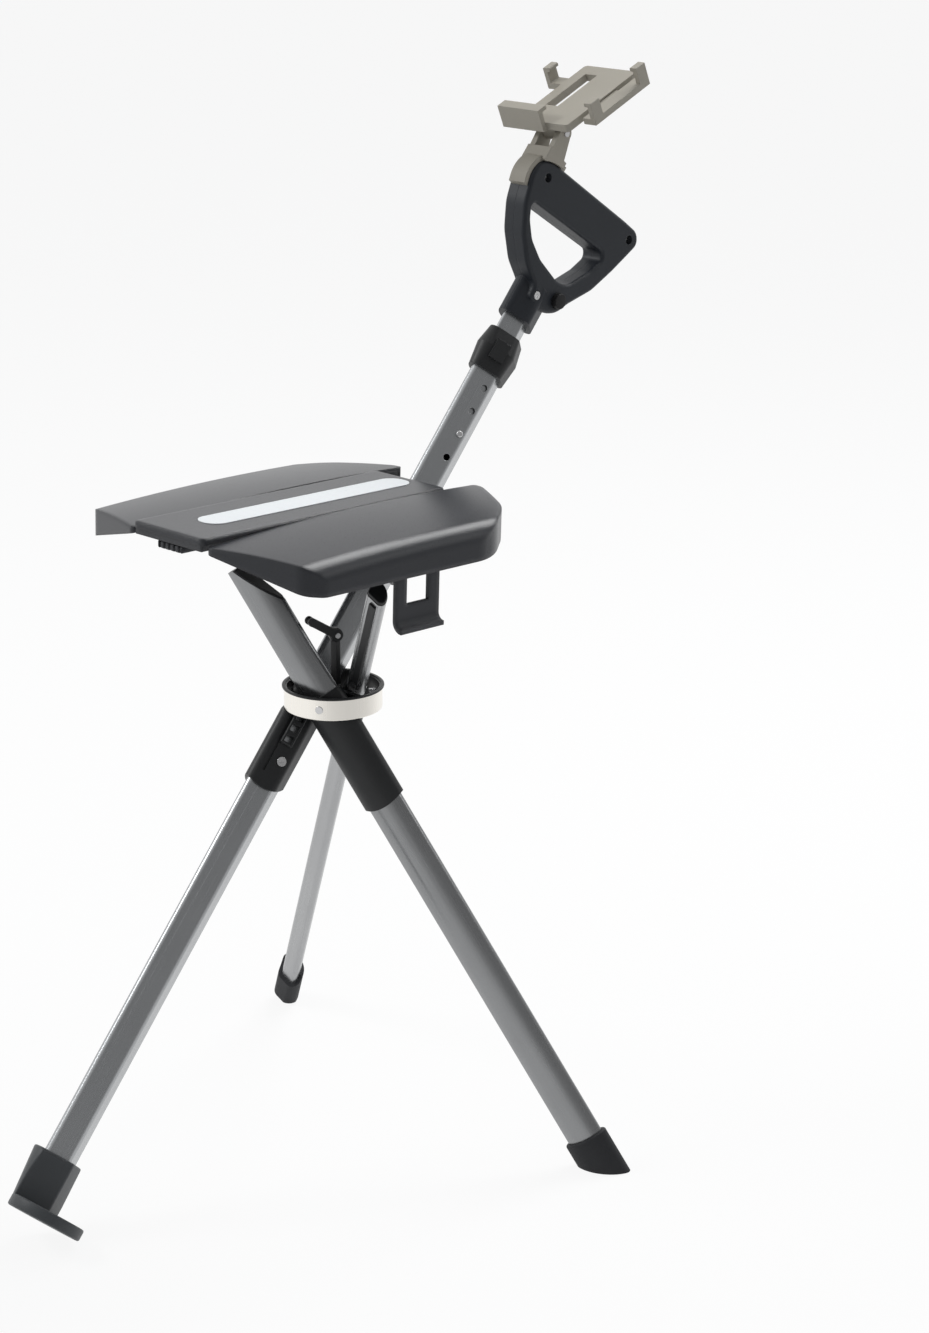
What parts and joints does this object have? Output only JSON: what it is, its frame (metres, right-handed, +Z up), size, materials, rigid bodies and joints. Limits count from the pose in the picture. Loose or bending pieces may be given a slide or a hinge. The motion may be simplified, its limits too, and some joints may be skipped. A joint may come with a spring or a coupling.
{
  "type": "walking stick seat",
  "caption": "Folding walking-stick seat: a tripod of three-sided aluminium tubes with a winged plastic seat, a D handle on a telescoping stem and a tilting phone holder.",
  "frame": {"origin": "on the floor under the axis of the hub ring, with the seat open", "axes": "+Z up; +Y from the seat's front to its rear, where the stick and handle rise; +X to the seat wing that carries the latch"},
  "size_m": [0.4309, 0.6486, 0.7864],
  "materials": {
    "tube_aluminium": "satin anodised",
    "ring_steel": "polished",
    "fastener_steel": "bright",
    "hub_plastic": "moulded, satin",
    "seat_plastic": "moulded, fine grain",
    "strip_white": "smooth",
    "foot_rubber": "matt",
    "plug_black": "matt",
    "holder_plastic": "moulded, matt"
  },
  "bodies": {
    "hub": {"hub_ring": "ring_steel", "leg_pins": "fastener_steel", "brace_column": "hub_plastic", "brace_link_pin": "fastener_steel"},
    "front_leg": {"front_leg_tube": "tube_aluminium", "front_leg_casing": "hub_plastic", "casing_screw": "fastener_steel", "front_ferrule": "foot_rubber", "tube_collar": "hub_plastic", "seat_bracket": "hub_plastic", "seat_pin": "fastener_steel"},
    "push_pin": {"push_pin": "fastener_steel"},
    "right_leg": {"right_leg_tube": "tube_aluminium", "right_leg_sleeve": "hub_plastic", "right_foot": "foot_rubber", "right_leg_cap": "hub_plastic", "right_leg_screw": "fastener_steel"},
    "left_leg": {"left_leg_tube": "tube_aluminium", "left_leg_clamp": "hub_plastic", "left_foot": "foot_rubber", "left_leg_cap": "hub_plastic", "left_leg_strip": "hub_plastic"},
    "seat": {"seat_centre_panel": "seat_plastic", "seat_strip": "strip_white", "seat_hinge_rods": "fastener_steel"},
    "seat_catch": {"seat_catch": "seat_plastic"},
    "right_wing": {"seat_right_wing": "seat_plastic", "latch_pin": "fastener_steel"},
    "left_wing": {"seat_left_wing": "seat_plastic"},
    "latch": {"latch_loop": "seat_plastic"},
    "brace_link": {"brace_link": "hub_plastic"},
    "handle": {"inner_tube": "tube_aluminium", "handle_near_half": "seat_plastic", "handle_far_half": "seat_plastic", "handle_screws": "fastener_steel", "handle_plug": "plug_black", "phone_holder_clamp": "holder_plastic", "phone_holder_pin": "fastener_steel"},
    "phone_cradle": {"phone_holder_cradle": "holder_plastic"},
    "phone_jaw": {"phone_holder_jaw": "holder_plastic"}
  },
  "joints": [
    {"name": "front_leg_swing", "type": "hinge", "parent": "hub", "child": "front_leg", "pos_m": [0, 0, 0.35], "axis": [1, 0, 0], "range_deg": [0, 41]},
    {"name": "right_leg_swing", "type": "hinge", "parent": "hub", "child": "right_leg", "pos_m": [0, 0, 0.35], "axis": [-0.5, 0.866, 0], "range_deg": [0, 31.4]},
    {"name": "left_leg_swing", "type": "hinge", "parent": "hub", "child": "left_leg", "pos_m": [0, 0, 0.35], "axis": [-0.5, -0.866, 0], "range_deg": [0, 36]},
    {"name": "seat_fold", "type": "hinge", "parent": "front_leg", "child": "seat", "pos_m": [-0.0105, 0.05, 0.4722], "axis": [1, 0, 0], "range_deg": [0, 50.84]},
    {"name": "right_wing_fold", "type": "hinge", "parent": "seat", "child": "right_wing", "pos_m": [0.027, 0.05046, 0.48659], "axis": [0, 0.9995, -0.0321], "range_deg": [0, 54]},
    {"name": "left_wing_fold", "type": "hinge", "parent": "seat", "child": "left_wing", "pos_m": [-0.048, 0.05046, 0.48659], "axis": [0, -0.9995, 0.0321], "range_deg": [0, 54]},
    {"name": "brace_link_swing", "type": "hinge", "parent": "hub", "child": "brace_link", "pos_m": [0.003, 0, 0.398], "axis": [-0.9397, 0.342, 0], "range_deg": [0, 58]},
    {"name": "handle_height", "type": "slide", "parent": "front_leg", "child": "handle", "axis": [0, 0.6561, 0.7547], "range_m": [-0.012, 0.041]},
    {"name": "height_pin_press", "type": "slide", "parent": "front_leg", "child": "push_pin", "axis": [-0.866, 0.3774, -0.328], "range_m": [0, 0.003], "stiffness_N_per_m": 400},
    {"name": "seat_catch_slide", "type": "slide", "parent": "seat", "child": "seat_catch", "axis": [0, 0.9995, -0.0321], "range_m": [0, 0.005], "stiffness_N_per_m": 300},
    {"name": "latch_swing", "type": "hinge", "parent": "right_wing", "child": "latch", "pos_m": [0.0985, -0.01058, 0.47054], "axis": [0, 0.9995, -0.0321], "range_deg": [-10, 15]},
    {"name": "holder_tilt", "type": "hinge", "parent": "handle", "child": "phone_cradle", "pos_m": [-0.018, 0.25385, 0.73565], "axis": [1, 0, 0], "range_deg": [-15, 3]},
    {"name": "holder_jaw_slide", "type": "slide", "parent": "phone_cradle", "child": "phone_jaw", "axis": [1, 0, 0], "range_m": [0, 0.012], "stiffness_N_per_m": 120}
  ],
  "couplings": [
    {"joint": "right_leg_swing", "follows": "front_leg_swing", "ratio": 0.76585},
    {"joint": "left_leg_swing", "follows": "front_leg_swing", "ratio": 0.87805},
    {"joint": "seat_fold", "follows": "front_leg_swing", "ratio": 1.24},
    {"joint": "right_wing_fold", "follows": "front_leg_swing", "ratio": 1.3171},
    {"joint": "left_wing_fold", "follows": "front_leg_swing", "ratio": 1.3171},
    {"joint": "brace_link_swing", "follows": "front_leg_swing", "ratio": 1.4146}
  ]
}
